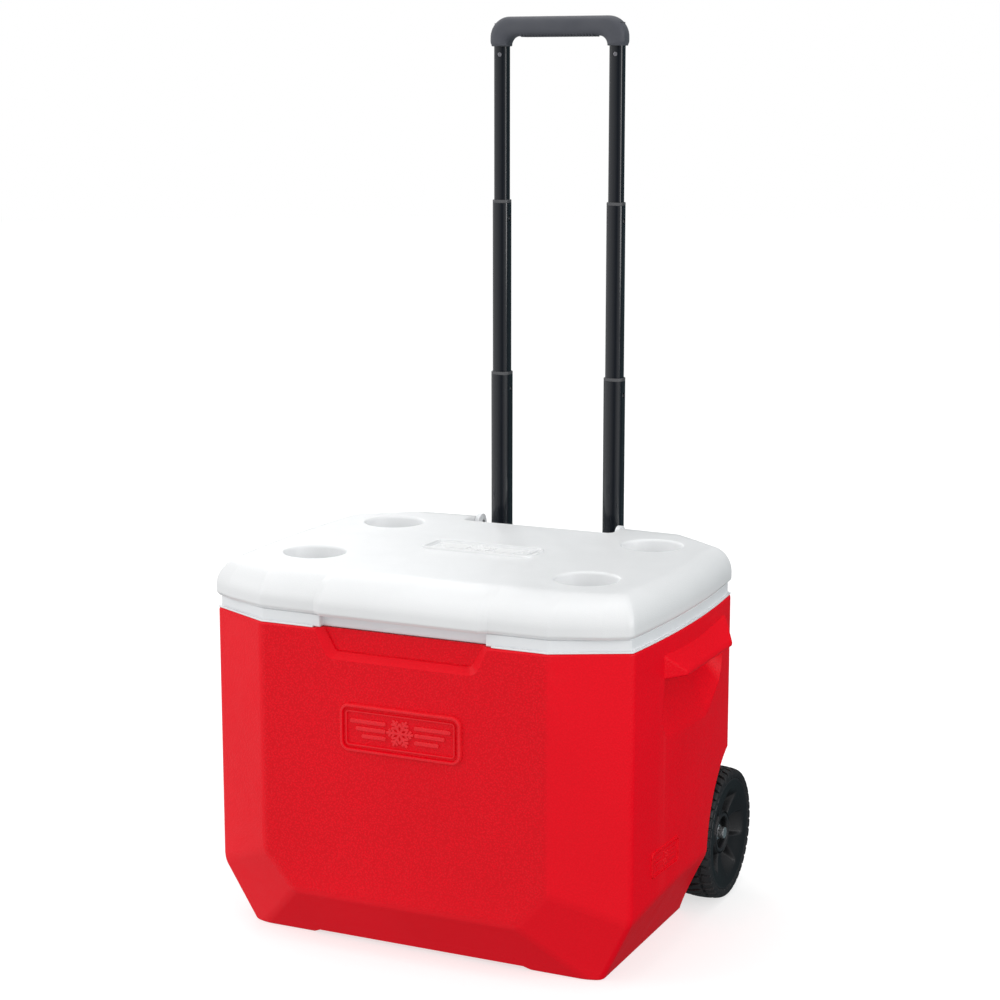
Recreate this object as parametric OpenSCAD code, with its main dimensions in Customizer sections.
// Wheeled cooler with a hinged lid and a three-stage telescopic handle.
// Millimetres. Seen from the front, left is -X and right is +X. -Y is the front and +Z is up.
// The origin is on the floor, midway between the sides and midway front to back.

/* [Body] */
// Width across the bowed sides at their widest
body_w = 540; // [534:1:546]
// How far each side bows outwards between its corners
side_bow = 9; // [5:1:11]
// Width of the flat front panel
panel_w = 356; // [350:1:362]
// Height of the coloured shell
shell_h = 382; // [378:1:386]
// Thickness of the moulded plastic walls
wall = 3; // [2:0.5:3.5]
// Depth from the floor to the inside of the tub
cavity_floor = 40; // [34:1:44]

/* [Lid] */
// Height of the flat lid top above the floor
lid_top = 441; // [439:1:444]
// Diameter of each cup holder
cup_d = 71; // [66:1:74]
// Depth of each cup holder
cup_depth = 22; // [16:1:26]

/* [Wheels] */
// Diameter over the tyre
wheel_d = 162; // [156:1:164]
// Width of the tyre
wheel_w = 50; // [44:1:50]
// Diameter of the axle rod
axle_d = 10; // [8:1:12]

/* [Handle] */
// Distance between the two posts
post_gap = 154; // [152:1:156]
// Height of the top of the lowest stage, extended
stage1_top = 624; // [610:1:626]
// Height of the top of the middle stage, extended
stage2_top = 840; // [826:1:842]
// Height of the top of the grip, extended
grip_top = 1064; // [1050:1:1066]

/* [Hidden] */
$fn = 64;
big = 1200;          // larger than the whole object, for cutting blocks
fit_gap = 0.3;       // between pieces of bodies that move past each other
run_gap = 0.05;      // radial clearance of a shaft in its bore
seat_gap = 0.1;      // between the foam and the walls around it

screw_r = 2;         // of the bracket screws
screw_head_r = 4;
small_screw_r = 1.5;  // of the hinge and grip screws

// Colours
red = [0.80, 0.02, 0.05];
white = [0.92, 0.93, 0.94];
foam_colour = [0.93, 0.86, 0.66];
black = [0.07, 0.07, 0.08];
charcoal = [0.23, 0.24, 0.26];
steel = [0.72, 0.73, 0.75];

// Shell outline, seen from above
front_y = -220;
rear_y = 223;
corner_front_y = -178;
corner_rear_y = 139;
rear_panel_w = 330;
side_end_x = body_w / 2 - side_bow;

// Lower bevels of the shell
bevel_front_z = 67;      // lower edge of the front panel
bevel_corner_z = 110;    // where the panel's side edge ends
bevel_side_z = 73;       // lower edge of the sides at their front end
bevel_rear_z = 72;
base_front_y = -174;
base_rear_y = 150;
base_half_w = 224;
lower_panel_w = 280;     // length of the panel's lower edge
foot_inner_x = 131;      // the base between the two foot pads is raised
foot_slope = 11;
foot_h = 5;

// Wheel wells
well_x = 207;
well_y = 163;
well_z = 80;
well_r = 118;
axle_y = 142;
axle_z = wheel_d / 2;
wheel_inner_x = 214;

// Rear channel that holds the handle
channel_half_w = 100;
channel_y = 198;
channel_z = 66;

// Front finger recess under the lid
recess_top_w = 219;
recess_edge_w = 184;
recess_edge_z = 348;
recess_floor_w = 168;
recess_floor_top_w = 203;
recess_floor_z = 356;
recess_depth = 9;

// Side grips
grip_wedge_x = 286;
wedge_top_z = 364;
wedge_edge_z = 341;
wedge_low_z = 335;
wedge_top_w = 206;
wedge_root_x = side_end_x + 6;  // where the slanting ends of the wedge start
wedge_edge_w = 148;
pocket_w = 206;
pocket_low_z = 268;
pocket_lip_x = 266;      // where the pocket's sloping floor starts
pocket_floor_z = 302;    // and where it meets the pocket's upright back
pocket_x = 246;

// Rim of the tub
rim_z = 397;
rim_inset = 4;
rim_step_w = 214;        // the rim steps back above the finger recess
rim_step = 8;

// Tub
cavity_inset = 30;
cavity_bevel_inset = 9.5; // from the shell's lower side bevels
cavity_rear_y = 137;
step_x = 186;            // the tub steps in over the wheel wells
step_y = 27;
step_z = 216;
ramp_y = 118;            // and over the axle
ramp_z = 112;
ramp_top_z = 131;
cavity_chamfer = 16;     // across the tub's rear corners
lip_h = 2;               // of the lip that covers the shell's upper edge
lip_inset = 0.8;

// Lid
lid_gap = 0.4;
lid_low = rim_z + lid_gap;
lid_edge_chamfer = 4;
lid_wall_z = 409;        // the near-vertical wall ends and the shoulder starts
brow_w = 200;            // proud centre part of the front edge
brow_slope = 8;
brow_y = -228;
notch_half_w = 100;      // rear notch that the grip stows in
notch_y = 149;
plug_depth = 12;
plug_gap = 3;
cup_x = 173.4;
cup_y = 100.5;
hinge_y = 190;
hinge_z = 430;
barrel_r = 32.5;
boss_r = 8;
hinge_pin_d = 6;
hinge_boss_len = 18;

// Handle
post_x = post_gap / 2;
post_y = 214;
tube_wall = 1.2;
guide_size = [28.5, 26.5, 9.5];   // width, depth and corner radius
stage1_size = [25, 23, 8];
stage2_size = [21.5, 19.5, 6.5];
stage3_size = [18, 16, 5];
guide_low = 78;
guide_top = 396;
stage1_low = 346;
stage2_low = 580;
stage3_low = 795;
collar_h = 4;
foot_bush_h = 6;
detent_r = 2.5;
detent_up = 22;          // from the lower end of the tube
grip_low = grip_top - 36;
bar_low = grip_top - 24;
grip_half_w = 90;
grip_leg_w = 24;
grip_depth = 27;
teeth = 24;
tooth_pitch = 4.1;

// Drain
drain_y = -60;
drain_z = 62;
drain_recess_x = 246;
drain_recess_r = 24;
drain_flange_r = 14.5;
spout_r = 12;
spout_bore_r = 8.5;
spout_end_x = 262;
drain_cut_x = 200;       // the hole for the spout starts inside the tub
nut_r = 20;
nut_h = 5;
cap_r = 16;
cap_in_x = 252;
cap_end_x = 268;
cap_ribs = 12;

// ---------- helpers ----------

// Moves each corner of a closed outline inwards so that every edge moves by t
function inset(pts, t) = let(n = len(pts)) [for (i = [0 : n - 1])
    let(a = pts[(i + n - 1) % n], b = pts[i], c = pts[(i + 1) % n],
        u = (b - a) / norm(b - a), v = (c - b) / norm(c - b),
        nu = [-u[1], u[0]], nv = [-v[1], v[0]])
    b + (nu + nv) * t / (1 + nu * nv)];

// Completes the right half of an outline, listed front to rear, with its mirror image
function both_halves(right) = concat(right,
    [for (i = [len(right) - 1 : -1 : 0]) if (abs(right[i][0]) > 0.01) [-right[i][0], right[i][1]]]);

// X of a bowed side between its two ends
function bowed_x(y, end_x, y0, y1, bow) =
    let(mid = (y0 + y1) / 2, half = (y1 - y0) / 2) end_x + bow * (1 - pow((y - mid) / half, 2));

function bowed_side(end_x, y0, y1, bow, steps = 8) =
    [for (i = [0 : steps]) let(y = y0 + (y1 - y0) * i / steps) [bowed_x(y, end_x, y0, y1, bow), y]];

shell_plan = both_halves(concat([[panel_w / 2, front_y]],
    bowed_side(side_end_x, corner_front_y, corner_rear_y, side_bow),
    [[rear_panel_w / 2, rear_y]]));

// Closed solid through a stack of outlines with equal numbers of points
module stack(outlines, heights) {
    n = len(outlines[0]);
    last = len(outlines) - 1;
    points = [for (k = [0 : last]) for (p = outlines[k]) [p[0], p[1], heights[k]]];
    sides = [for (k = [0 : last - 1]) for (i = [0 : n - 1]) let(j = (i + 1) % n)
        each [[k * n + i, (k + 1) * n + i, k * n + j], [k * n + j, (k + 1) * n + i, (k + 1) * n + j]]];
    polyhedron(points, concat(sides, [[for (i = [0 : n - 1]) i]],
        [[for (i = [n - 1 : -1 : 0]) last * n + i]]), convexity = 6);
}

// Removes what lies beyond a plane through three points, moved inwards by t
module beyond(a, b, c, t) {
    raw = cross(b - a, c - a);
    n = raw / norm(raw);
    translate(a - n * t) rotate([0, acos(n[2]), atan2(n[1], n[0])])
        translate([-big / 2, -big / 2, 0]) cube([big, big, big / 4]);
}

module both_sides() { children(); mirror([1, 0, 0]) children(); }
module side(s) { if (s > 0) children(); else mirror([1, 0, 0]) children(); }

module box(low, high) { translate(low) cube(high - low); }

module rod_x(x0, x1, r, y, z) { translate([x0, y, z]) rotate([0, 90, 0]) cylinder(h = x1 - x0, r = r); }

module ring_x(x0, x1, r_out, r_in, y, z) {
    difference() {
        rod_x(x0, x1, r_out, y, z);
        rod_x(x0 - 1, x1 + 1, r_in, y, z);
    }
}

// Rounded rectangle [width, depth, corner radius], grown by g
module tube_section(size, g = 0) {
    w = size[0] / 2 + g;
    d = size[1] / 2 + g;
    r = size[2] + g;
    square([2 * w - 2 * r, 2 * d], center = true);
    square([2 * w, 2 * d - 2 * r], center = true);
    for (sx = [-1, 1], sy = [-1, 1]) translate([sx * (w - r), sy * (d - r)]) circle(r);
}

module post(s, z0, z1, size, g = 0) {
    translate([s * post_x, post_y, z0]) linear_extrude(z1 - z0) tube_section(size, g);
}

module tube(s, z0, z1, size) {
    difference() {
        post(s, z0, z1, size);
        post(s, z0 - 1, z1 + 1, size, -tube_wall);
    }
}

// ---------- outer shell ----------

module lower_bevels(t) {
    half = lower_panel_w / 2;
    beyond([0, front_y, bevel_front_z], [0, base_front_y, 0], [1, front_y, bevel_front_z], t);
    beyond([0, rear_y, bevel_rear_z], [1, rear_y, bevel_rear_z], [0, base_rear_y, 0], t);
    both_sides() beyond([panel_w / 2, front_y, bevel_corner_z], [half, front_y, bevel_front_z],
        [side_end_x, corner_front_y, bevel_side_z], t);
    side_bevels(t);
}

module side_bevels(t) {
    both_sides()
        beyond([side_end_x, 0, bevel_side_z], [base_half_w, 0, 0], [side_end_x, 100, bevel_side_z], t);
}

module wheel_wells(t) {
    both_sides() intersection() {
        rod_x(well_x - t, big / 2, well_r + t, well_y, well_z);
        box([well_x - t, 0, -10], [big / 2, big / 2, big / 2]);
    }
    both_sides() box([well_x - t, well_y, -10], [big / 2, big / 2, well_z]);
}

module handle_channel(t) {
    box([-channel_half_w - t, channel_y - t, channel_z - t], [channel_half_w + t, big / 2, big]);
}

module finger_recess(t) {
    z1 = shell_h + 1;
    edge = [[-recess_edge_w / 2 - t, recess_edge_z - t], [recess_edge_w / 2 + t, recess_edge_z - t],
        [recess_top_w / 2 + t, z1], [-recess_top_w / 2 - t, z1]];
    floor = [[-recess_floor_w / 2 - t, recess_floor_z - t], [recess_floor_w / 2 + t, recess_floor_z - t],
        [recess_floor_top_w / 2 + t, z1], [-recess_floor_top_w / 2 - t, z1]];
    translate([0, front_y + recess_depth + t, 0]) rotate([90, 0, 0])
        stack([floor, edge, edge], [0, recess_depth + t, recess_depth + t + 5]);
}

module side_pockets(t) {
    both_sides() translate([0, pocket_w / 2 + t, 0]) rotate([90, 0, 0]) linear_extrude(pocket_w + 2 * t)
        polygon([[pocket_lip_x + 24, pocket_low_z - 12 - t], [pocket_lip_x, pocket_low_z - t],
            [pocket_x - t, pocket_floor_z - t], [pocket_x - t, wedge_low_z + t],
            [pocket_lip_x + 24, wedge_low_z + t]]);
}

module side_grip_wedges() {
    both_sides() intersection() {
        translate([0, wedge_top_w / 2, 0]) rotate([90, 0, 0]) linear_extrude(wedge_top_w)
            polygon([[pocket_x - 1, wedge_low_z], [grip_wedge_x, wedge_low_z],
                [grip_wedge_x, wedge_edge_z], [side_end_x + side_bow - 1, wedge_top_z],
                [pocket_x - 1, wedge_top_z]]);
        linear_extrude(big) polygon([[0, -wedge_top_w / 2], [wedge_root_x, -wedge_top_w / 2],
            [grip_wedge_x + 1, -wedge_edge_w / 2], [grip_wedge_x + 1, wedge_edge_w / 2],
            [wedge_root_x, wedge_top_w / 2], [0, wedge_top_w / 2]]);
    }
}

module raised_base(t) {
    translate([0, big / 2, 0]) rotate([90, 0, 0]) linear_extrude(big)
        polygon([[-foot_inner_x - foot_slope - t, -1], [foot_inner_x + foot_slope + t, -1],
            [foot_inner_x + foot_slope + t, t], [foot_inner_x + t, foot_h + t],
            [-foot_inner_x - t, foot_h + t], [-foot_inner_x - foot_slope - t, t]]);
}

module drain_recess(t) {
    rod_x(-big / 2, -drain_recess_x + t, drain_recess_r + t, drain_y, drain_z);
}

// The shell's solid outer form, with every face moved inwards by t
module body_form(t) {
    difference() {
        translate([0, 0, t]) linear_extrude(shell_h - t + (t > 0 ? 1 : 0)) polygon(inset(shell_plan, t));
        lower_bevels(t);
        wheel_wells(t);
        handle_channel(t);
        finger_recess(t);
        side_pockets(t);
        raised_base(t);
        drain_recess(t);
    }
}

module outer_shell() {
    color(red) difference() {
        union() {
            difference() {
                body_form(0);
                body_form(wall);
            }
            intersection() {
                side_grip_wedges();
                box([-big / 2, -big / 2, wedge_low_z], [big / 2, big / 2, shell_h]);
            }
        }
        rod_x(-big / 2, big / 2, axle_d / 2 + 3, axle_y, axle_z);
        rod_x(-big / 2, -drain_recess_x + 5, spout_r, drain_y, drain_z);
    }
}

module body_foam() {
    color(foam_colour) difference() {
        union() {
            intersection() {
                body_form(wall + seat_gap);
                box([-big / 2, -big / 2, 0], [big / 2, big / 2, shell_h]);
            }
            rim_block(wall + seat_gap, shell_h, rim_z - wall - seat_gap);
        }
        cavity(wall + seat_gap);
        both_sides() intersection() {
            side_grip_wedges();
            box([0, -big / 2, 0], [grip_wedge_x, big / 2, big]);
        }
        rod_x(-big / 2, big / 2, axle_d / 2 + 1, axle_y, axle_z);
        both_sides() rod_x(well_x - wall - 8, big / 2, axle_d / 2 + 3.2, axle_y, axle_z);
        rod_x(-big / 2, -drain_cut_x, spout_r + 2 * seat_gap, drain_y, drain_z);
        hinge_screw_places() translate([0, 0, -20]) cylinder(h = 30, r = small_screw_r + seat_gap);
    }
}

// ---------- tub ----------

cavity_plan = let(p = inset(shell_plan, cavity_inset))
    both_halves(concat([for (q = p) if (q[0] > 0 && q[1] < cavity_rear_y - 20) q],
        [[side_end_x - cavity_inset, cavity_rear_y - cavity_chamfer],
        [side_end_x - cavity_inset - cavity_chamfer, cavity_rear_y]]));

// The space inside the tub, with its walls and floor moved outwards by g
module cavity(g) {
    difference() {
        translate([0, 0, cavity_floor - g]) linear_extrude(rim_z + 1 - cavity_floor + g)
            polygon(inset(cavity_plan, -g));
        both_sides() box([step_x + g, step_y + g, 0], [big / 2, big / 2, step_z - g]);
        translate([-big / 2, 0, 0]) rotate([90, 0, 90]) linear_extrude(big)
            polygon([[ramp_y + g, 0], [big / 2, 0], [big / 2, ramp_top_z], [cavity_rear_y + g, ramp_top_z],
                [ramp_y + g, ramp_z]]);
        side_bevels(cavity_bevel_inset - g);
    }
}

// Block under the rim, inset t inside the shell outline
module rim_block(t, z0, z1) {
    difference() {
        translate([0, 0, z0]) linear_extrude(z1 - z0) polygon(inset(shell_plan, rim_inset + t));
        box([-channel_half_w - t, channel_y - 2 - t, z0 - 1], [channel_half_w + t, big / 2, z1 + 1]);
        box([-rim_step_w / 2 - t, -big / 2, z0 - 1],
            [rim_step_w / 2 + t, front_y + rim_inset + rim_step + t, z1 + 1]);
    }
}

module liner() {
    color(white) difference() {
        union() {
            difference() {
                rim_block(0, shell_h, rim_z);
                rim_block(wall, shell_h - 1, rim_z - wall);
            }
            difference() {
                translate([0, 0, shell_h]) linear_extrude(lip_h) polygon(inset(shell_plan, lip_inset));
                rim_block(wall, shell_h - 1, rim_z);
                box([-channel_half_w, channel_y - 2, shell_h - 1], [channel_half_w, big / 2, rim_z]);
                box([-recess_top_w / 2, -big / 2, shell_h - 1],
                    [recess_top_w / 2, front_y + rim_inset + rim_step, rim_z]);
            }
            intersection() {
                cavity(wall);
                box([-big / 2, -big / 2, 0], [big / 2, big / 2, rim_z]);
            }
        }
        cavity(0);
        rod_x(-big / 2, -drain_cut_x, spout_r, drain_y, drain_z);
        hinge_screw_places() translate([0, 0, -20]) cylinder(h = 30, r = small_screw_r);
    }
}

// ---------- drain, on the -X side ----------

function cavity_x(y) = bowed_x(y, side_end_x, corner_front_y, corner_rear_y, side_bow) - cavity_inset;
drain_in_x = floor(cavity_x(drain_y - 17));    // where a flat flange meets the bowed wall of the tub

module drain_spout() {
    color(white) difference() {
        union() {
            rod_x(-spout_end_x, -drain_in_x + 3, spout_r, drain_y, drain_z);
            rod_x(-drain_in_x + 2, -drain_in_x + 5, drain_flange_r, drain_y, drain_z);
        }
        rod_x(-spout_end_x - 1, -drain_in_x + 6, spout_bore_r, drain_y, drain_z);
    }
}

module drain_gasket() {
    color(black) ring_x(-drain_in_x, -drain_in_x + 2, drain_flange_r - 1, spout_r, drain_y, drain_z);
}

module drain_nut() {
    color(white) difference() {
        translate([-drain_recess_x - nut_h, drain_y, drain_z]) rotate([0, 90, 0])
            cylinder(h = nut_h, r = nut_r, $fn = 6);
        rod_x(-drain_recess_x - nut_h - 1, -drain_recess_x + 1, spout_r, drain_y, drain_z);
    }
}

module drain_cap() {
    color(white) difference() {
        union() {
            rod_x(-cap_end_x, -cap_in_x, cap_r, drain_y, drain_z);
            for (k = [0 : cap_ribs - 1])
                translate([-cap_end_x, drain_y, drain_z]) rotate([k * 360 / cap_ribs, 0, 0])
                    translate([0, cap_r - 1, -1.5]) cube([14, 2.4, 3]);
            box([-cap_end_x - 10, drain_y - spout_r, drain_z - 2.5],
                [-cap_end_x, drain_y + spout_r, drain_z + 2.5]);
        }
        rod_x(-cap_end_x + 3.5, -cap_in_x + 1, spout_r + fit_gap, drain_y, drain_z);
    }
}

// ---------- axle and wheels ----------

axle_end_x = 256;
wheel_outer_x = wheel_inner_x + wheel_w;
hub_in_x = 212;
hub_out_x = 246;
bush_r = axle_d / 2 + 3;
bush_flange_r = 13;
bush_flange_h = 2.2;
washer_r = 10;
washer_h = 1.5;
push_nut_r = 9;
push_nut_cap_r = 7;

module axle() { color(steel) rod_x(-axle_end_x, axle_end_x, axle_d / 2, axle_y, axle_z); }

module axle_bush(s) {
    color(black) side(s) difference() {
        union() {
            rod_x(well_x - 9, well_x, bush_r, axle_y, axle_z);
            rod_x(well_x, well_x + bush_flange_h, bush_flange_r, axle_y, axle_z);
        }
        rod_x(well_x - 10, well_x + 3, axle_d / 2, axle_y, axle_z);
    }
}

module washers(s) {
    color(steel) side(s) {
        for (x = [well_x + bush_flange_h, hub_out_x + 2 * fit_gap])
            ring_x(x, x + washer_h, washer_r, axle_d / 2, axle_y, axle_z);
    }
}

module push_nut(s) {
    x = hub_out_x + 2 * fit_gap + washer_h;
    color(steel) side(s) difference() {
        union() {
            rod_x(x, x + 1.5, push_nut_r, axle_y, axle_z);
            rod_x(x + 1.5, axle_end_x + 1.5, push_nut_cap_r, axle_y, axle_z);
        }
        rod_x(hub_out_x + 1, axle_end_x, axle_d / 2, axle_y, axle_z);
    }
}

// Turns a half profile of [radius, distance along +X] around the axle line
module turned_x(profile) {
    translate([0, axle_y, axle_z]) rotate([90, 0, 90]) rotate_extrude($fn = 96) polygon(profile);
}

tyre_r = wheel_d / 2;
seat_r = tyre_r - 13;

module tyre(s) {
    lugs = 36;
    shoulder = 13;
    x0 = wheel_inner_x;
    x1 = wheel_outer_x;
    color(black) side(s) difference() {
        turned_x([[seat_r, x0 + 2], [tyre_r - 7, x0], [tyre_r - 2, x0 + 5], [tyre_r, x0 + shoulder],
            [tyre_r, x1 - shoulder], [tyre_r - 2, x1 - 5], [tyre_r - 7, x1], [seat_r, x1 - 1]]);
        for (k = [0 : lugs - 1]) translate([0, axle_y, axle_z]) rotate([k * 360 / lugs, 0, 0])
            translate([x0 + 9, -1, tyre_r - 2.5]) cube([x1 - x0 - 18, 2, 10]);
    }
}

module rim(s) {
    scoops = 5;
    x0 = wheel_inner_x;
    x1 = wheel_outer_x;
    color(black) side(s) difference() {
        turned_x([[bush_r, hub_in_x], [16, hub_in_x], [18, x0 + 16], [seat_r - 6, x0 + 16],
            [seat_r - 4, x0 + 2], [seat_r, x0 + 2], [seat_r, x1 - 1], [seat_r - 5, x1 - 4],
            [45, x1 - 12], [24, x1 - 10], [20, x1 - 9], [15, x1 - 11], [15, hub_out_x], [bush_r, hub_out_x]]);
        for (k = [0 : scoops - 1]) translate([0, axle_y, axle_z]) rotate([k * 360 / scoops, 0, 0])
            translate([x0 + 20, 0, 0]) for (d = [30, 36, 42, 48])
                translate([0, d, 0]) rotate([0, 90, 0]) cylinder(h = 40, r = 8.5 + (d - 30) / 9);
    }
}

module wheel_bush(s) {
    color(white) side(s) ring_x(hub_in_x, hub_out_x, bush_r, axle_d / 2 + run_gap, axle_y, axle_z);
}

// ---------- handle ----------

module handle_guide(s) { color(black) tube(s, guide_low, guide_top - collar_h, guide_size); }

// Ring on the end of an outer tube that guides the tube inside it
module collar(s, top, outer_size, inner_size) {
    difference() {
        post(s, top - collar_h, top, outer_size);
        post(s, top - collar_h - 1, top + 1, inner_size, fit_gap);
    }
}

// Plug in the lower end of an inner tube that rides on the wall of the outer tube
module foot_bush(s, low, size) {
    post(s, low - foot_bush_h, low, size, 0.25);
    post(s, low, low + 12, size, -tube_wall);
}

// Snap buttons in both side walls of an inner tube, seen through the holes of the outer tube
module detents(low, size) {
    for (s = [-1, 1]) difference() {
        rod_x(s * post_x - size[0] / 2 - 0.2, s * post_x + size[0] / 2 + 0.2,
            detent_r, post_y, low + detent_up);
        post(s, low, low + 2 * detent_up, size, -tube_wall);
    }
}

module detent_holes(s, low, r) { rod_x(s * post_x - 30, s * post_x + 30, r, post_y, low + detent_up); }

module stage_tube(s, low, top, size, upper_low) {
    difference() {
        tube(s, low, top, size);
        detent_holes(s, low, detent_r);
        if (upper_low > 0) detent_holes(s, upper_low, detent_r + 1);
    }
}

module stage1_tube(s) {
    color(black) stage_tube(s, stage1_low, stage1_top - collar_h, stage1_size, stage2_low);
}
module stage2_tube(s) {
    color(black) stage_tube(s, stage2_low, stage2_top - collar_h, stage2_size, stage3_low);
}
module stage3_tube(s) {
    color(black) difference() {
        stage_tube(s, stage3_low, grip_low + 6, stage3_size, 0);
        grip_screw_hole(s);
    }
}

module guide_collar(s) { color(charcoal) collar(s, guide_top, guide_size, stage1_size); }
module stage1_collar(s) { color(charcoal) collar(s, stage1_top, stage1_size, stage2_size); }
module stage2_collar(s) { color(charcoal) collar(s, stage2_top, stage2_size, stage3_size); }

module stage1_foot(s) { color(charcoal) foot_bush(s, stage1_low, stage1_size); }
module stage2_foot(s) { color(charcoal) foot_bush(s, stage2_low, stage2_size); }
module stage3_foot(s) { color(charcoal) foot_bush(s, stage3_low, stage3_size); }

module stage1_detents() { color(steel) detents(stage1_low, stage1_size); }
module stage2_detents() { color(steel) detents(stage2_low, stage2_size); }
module stage3_detents() { color(steel) detents(stage3_low, stage3_size); }

grip_screw_z = grip_low - 10;
tube_front_y = post_y - stage3_size[1] / 2;

module at_grip_screw(s, depth) {
    translate([s * post_x, tube_front_y + depth, grip_screw_z]) rotate([-90, 0, 0]) children();
}

module grip_screw_hole(s) {
    at_grip_screw(s, -1) cylinder(h = 12, r = small_screw_r);
    at_grip_screw(s, -1) cylinder(h = 1.8, r = 3);
}

module grip_screws() {
    color(steel) for (s = [-1, 1]) {
        at_grip_screw(s, 0.1) cylinder(h = 0.7, r = 3);
        at_grip_screw(s, 0.8) cylinder(h = 10.2, r = small_screw_r);
    }
}

// Bars of the stiff core inside the soft grip, starting at height z0
module core_bars(z0) {
    for (s = [-1, 1])
        box([s * post_x - 7, post_y - 7, z0], [s * post_x + 7, post_y + 7, grip_top - 8]);
    box([-post_x, post_y - 6, bar_low + 6], [post_x, post_y + 6, grip_top - 8]);
}

module grip_core() {
    color(black) difference() {
        union() {
            for (s = [-1, 1]) post(s, grip_low - 30, grip_low + 6, stage3_size, -tube_wall);
            core_bars(grip_low + 6);
        }
        for (s = [-1, 1]) grip_screw_hole(s);
    }
}

// The grip seen from the front: a bar with two short legs, round outside and inside its corners
module grip_outline() {
    r = 25;
    leg_in = grip_half_w - grip_leg_w;
    fillet = bar_low - grip_low;
    difference() {
        intersection() {
            union() {
                translate([-grip_half_w + r, grip_low]) square([2 * (grip_half_w - r), grip_top - grip_low]);
                translate([-grip_half_w, grip_low + 5])
                    square([2 * grip_half_w, grip_top - grip_low - r - 5]);
                translate([-grip_half_w + 5, grip_low]) square([2 * grip_half_w - 10, 8]);
                for (s = [-1, 1]) translate([s * (grip_half_w - r), grip_top - r]) circle(r);
                for (s = [-1, 1]) translate([s * (grip_half_w - 5), grip_low + 5]) circle(5);
            }
            translate([-grip_half_w, grip_low]) square([2 * grip_half_w, grip_top - grip_low]);
        }
        translate([-leg_in + fillet, grip_low - 1]) square([2 * (leg_in - fillet), fillet + 1]);
        for (s = [-1, 1]) translate([s * (leg_in - fillet), grip_low]) circle(fillet);
    }
}

module grip_cover() {
    color(charcoal) difference() {
        translate([0, post_y + grip_depth / 2, 0]) rotate([90, 0, 0])
            linear_extrude(grip_depth) grip_outline();
        for (s = [-1, 1]) post(s, grip_low - 1, grip_low + 6, stage3_size);
        core_bars(grip_low + 5);
        for (k = [0 : teeth - 1]) translate([(k - (teeth - 1) / 2) * tooth_pitch, post_y, bar_low])
            rotate([0, 30, 0]) cube([1.8, grip_depth + 2, 7], center = true);
    }
}

// ---------- brackets that hold the handle ----------

bracket_half_w = 98;
bracket_rear_y = 228;
screw_seat_y = channel_y + 8;
bracket_screw_x = [34, 52];
bracket_screw_z = [378, 81];
top_bracket_z = [368, guide_top - 1];
bottom_bracket_z = [70, 92];

module bracket_screw_axes() {
    for (s = [-1, 1], x = bracket_screw_x, z = bracket_screw_z)
        translate([s * x, 0, z]) rotate([-90, 0, 0]) children();
}

module handle_top_bracket() {
    color(black) difference() {
        box([-bracket_half_w, channel_y, top_bracket_z[0]],
            [bracket_half_w, bracket_rear_y, top_bracket_z[1]]);
        for (s = [-1, 1]) post(s, 0, big, guide_size);
        box([-58, screw_seat_y, top_bracket_z[0] - 1], [58, bracket_rear_y - 3, top_bracket_z[1] - 3]);
        bracket_screw_axes() cylinder(h = big, r = screw_r);
        bracket_screw_axes() translate([0, 0, screw_seat_y]) cylinder(h = big, r = screw_head_r + 1);
    }
}

module handle_bottom_bracket() {
    color(black) difference() {
        box([-bracket_half_w, channel_y, bottom_bracket_z[0]],
            [bracket_half_w, bracket_rear_y, bottom_bracket_z[1]]);
        for (s = [-1, 1]) post(s, guide_low, big, guide_size);
        bracket_screw_axes() cylinder(h = big, r = screw_r);
        bracket_screw_axes() translate([0, 0, screw_seat_y]) cylinder(h = big, r = screw_head_r + 1);
    }
}

module bracket_screws() {
    color(steel) bracket_screw_axes() {
        translate([0, 0, channel_y]) cylinder(h = screw_seat_y - channel_y, r = screw_r);
        translate([0, 0, screw_seat_y]) cylinder(h = 2.5, r = screw_head_r);
    }
}

// ---------- lid hinges ----------

ear_x = [93, 99];
ear_r = 12;
bracket_plate_h = 3;
hinge_screw_x = 85;
hinge_screw_y = [168, 186];

module hinge_screw_places() {
    for (s = [-1, 1], y = hinge_screw_y) translate([s * hinge_screw_x, y, rim_z]) children();
}

module hinge_bracket(s) {
    color(white) side(s) difference() {
        union() {
            box([78, 162, rim_z], [ear_x[1], 194, rim_z + bracket_plate_h]);
            box([ear_x[0], hinge_y - ear_r, rim_z], [ear_x[1], 194, hinge_z]);
            rod_x(ear_x[0], ear_x[1], ear_r, hinge_y, hinge_z);
            translate([ear_x[0], 0, 0]) rotate([90, 0, 90]) linear_extrude(ear_x[1] - ear_x[0])
                polygon([[164, rim_z], [hinge_y, rim_z], [hinge_y, hinge_z - 6],
                    [hinge_y - 10, hinge_z - 6]]);
        }
        rod_x(ear_x[0] - 1, ear_x[1] + 1, hinge_pin_d / 2, hinge_y, hinge_z);
        hinge_screw_places() translate([0, 0, -1]) cylinder(h = 8, r = small_screw_r);
    }
}

module hinge_screws() {
    color(steel) hinge_screw_places() {
        translate([0, 0, -10]) cylinder(h = 10 + bracket_plate_h, r = small_screw_r);
        translate([0, 0, bracket_plate_h]) cylinder(h = 2, r = 3.2);
    }
}

module hinge_pin(s) {
    color(steel) side(s) {
        rod_x(ear_x[0], notch_half_w + hinge_boss_len - 2, hinge_pin_d / 2, hinge_y, hinge_z);
        rod_x(ear_x[0] - 1.2, ear_x[0], hinge_pin_d / 2 + 1.5, hinge_y, hinge_z);
    }
}

// ---------- lid ----------

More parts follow.
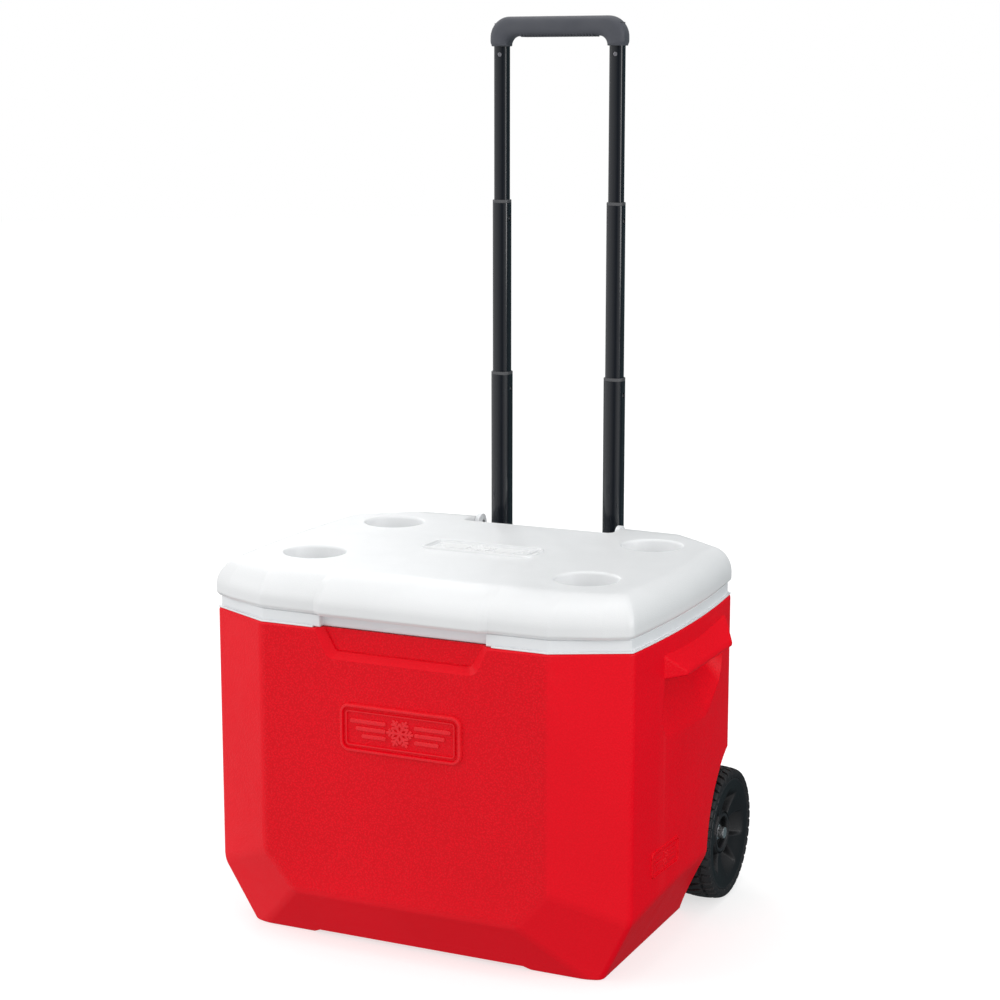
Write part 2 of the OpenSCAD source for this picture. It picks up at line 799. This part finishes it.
// Right half of the lid's widest outline and of the edge of its flat top, front to rear
lid_outline = both_halves(concat(
    [[brow_w / 2, brow_y], [brow_w / 2 + brow_slope, -224.6], [panel_w / 2, front_y], [234, -198]],
    bowed_side(side_end_x + 0.5, -181.5, corner_rear_y, side_bow),
    [[202, hinge_y], [165, 222], [100, 224]]));
top_outline = both_halves(concat(
    [[brow_w / 2 - 4, -166.5], [brow_w / 2 + brow_slope - 3, -165], [185, -162.5], [225, -157.5]],
    bowed_side(237, -148, 124, 6),
    [[200, 151], [182, 163], [100, 170]]));

// Behind the hinge axis the lid is trimmed to a barrel around it, so that it clears the rim as it opens
function barrel_trim(pts, z, r) =
    let(y1 = hinge_y + sqrt(max(0, r * r - pow(z - hinge_z, 2)))) [for (p = pts) [p[0], min(p[1], y1)]];

// The lid's solid outer form, with every face moved inwards by t
module lid_form(t) {
    steps = 8;
    outer = inset(lid_outline, t);
    top = inset(top_outline, t / 2);
    low = t > 0 ? lid_low - 1 : lid_low;
    outlines = concat([inset(lid_outline, t + lid_edge_chamfer), outer],
        [for (k = [0 : steps]) outer + (top - outer) * (1 - cos(90 * k / steps))]);
    heights = concat([low, lid_low + lid_edge_chamfer],
        [for (k = [0 : steps]) lid_wall_z + (lid_top - t - lid_wall_z) * sin(90 * k / steps)]);
    difference() {
        stack([for (k = [0 : len(heights) - 1]) barrel_trim(outlines[k], heights[k], barrel_r - t)], heights);
        box([-notch_half_w - t, notch_y - t, 0], [notch_half_w + t, big / 2, big]);
    }
}

module cup_places() {
    for (sx = [-1, 1], sy = [-1, 1]) translate([sx * cup_x, sy * cup_y, lid_top - cup_depth]) children();
}

module lid_shell() {
    color(white) difference() {
        union() {
            difference() {
                lid_form(0);
                lid_form(wall);
            }
            translate([0, 0, -wall]) cup_places() cylinder(h = cup_depth + wall - 0.5, r = cup_d / 2 + wall);
            both_sides() rod_x(notch_half_w, notch_half_w + hinge_boss_len, boss_r, hinge_y, hinge_z);
        }
        cup_places() cylinder(h = cup_depth + 1, r = cup_d / 2);
        both_sides() rod_x(notch_half_w - 1, notch_half_w + hinge_boss_len - 1,
            hinge_pin_d / 2 + run_gap, hinge_y, hinge_z);
    }
}

// Space for the plug that drops into the tub, inset t
module lid_plug(t, z1) {
    translate([0, 0, rim_z - plug_depth + t]) linear_extrude(z1 - rim_z + plug_depth - t)
        polygon(inset(cavity_plan, plug_gap + t));
}

module pan_plate(t, z0, z1) {
    difference() {
        translate([0, 0, z0]) linear_extrude(z1 - z0)
            polygon(inset(lid_outline, lid_edge_chamfer + wall + t));
        box([-notch_half_w - wall - t, notch_y - wall - t, 0], [notch_half_w + wall + t, big / 2, big]);
        box([-big / 2, hinge_y - 18, 0], [big / 2, big / 2, big]);
    }
}

module lid_underside() {
    color(white) difference() {
        union() {
            pan_plate(0.2, lid_low, lid_low + wall);
            lid_plug(0, lid_low + wall);
        }
        lid_plug(wall, lid_low + wall + 1);
    }
}

module lid_foam() {
    foam_low = lid_low + wall;
    color(foam_colour) difference() {
        union() {
            intersection() {
                lid_form(wall + seat_gap);
                pan_plate(1, foam_low, big);
            }
            lid_plug(wall + seat_gap, foam_low);
        }
        translate([0, 0, -wall - seat_gap]) cup_places()
            cylinder(h = cup_depth + wall + 1, r = cup_d / 2 + wall + seat_gap);
    }
}

// ---------- assembly ----------

outer_shell();
body_foam();
liner();
drain_spout();
drain_gasket();
drain_nut();
drain_cap();
axle();
axle_bush(-1);  // axle_bush_left
axle_bush(1);  // axle_bush_right
washers(-1);  // washers_left
washers(1);  // washers_right
push_nut(-1);  // push_nut_left
push_nut(1);  // push_nut_right
tyre(-1);  // tyre_left
tyre(1);  // tyre_right
rim(-1);  // rim_left
rim(1);  // rim_right
wheel_bush(-1);  // wheel_bush_left
wheel_bush(1);  // wheel_bush_right
handle_guide(-1);  // handle_guide_left
handle_guide(1);  // handle_guide_right
guide_collar(-1);  // guide_collar_left
guide_collar(1);  // guide_collar_right
handle_top_bracket();
handle_bottom_bracket();
bracket_screws();
hinge_bracket(-1);  // hinge_bracket_left
hinge_bracket(1);  // hinge_bracket_right
hinge_screws();
hinge_pin(-1);  // hinge_pin_left
hinge_pin(1);  // hinge_pin_right
lid_shell();
lid_underside();
lid_foam();
stage1_tube(-1);  // stage1_tube_left
stage1_tube(1);  // stage1_tube_right
stage1_collar(-1);  // stage1_collar_left
stage1_collar(1);  // stage1_collar_right
stage1_foot(-1);  // stage1_foot_left
stage1_foot(1);  // stage1_foot_right
stage1_detents();
stage2_tube(-1);  // stage2_tube_left
stage2_tube(1);  // stage2_tube_right
stage2_collar(-1);  // stage2_collar_left
stage2_collar(1);  // stage2_collar_right
stage2_foot(-1);  // stage2_foot_left
stage2_foot(1);  // stage2_foot_right
stage2_detents();
stage3_tube(-1);  // stage3_tube_left
stage3_tube(1);  // stage3_tube_right
stage3_foot(-1);  // stage3_foot_left
stage3_foot(1);  // stage3_foot_right
stage3_detents();
grip_core();
grip_cover();
grip_screws();
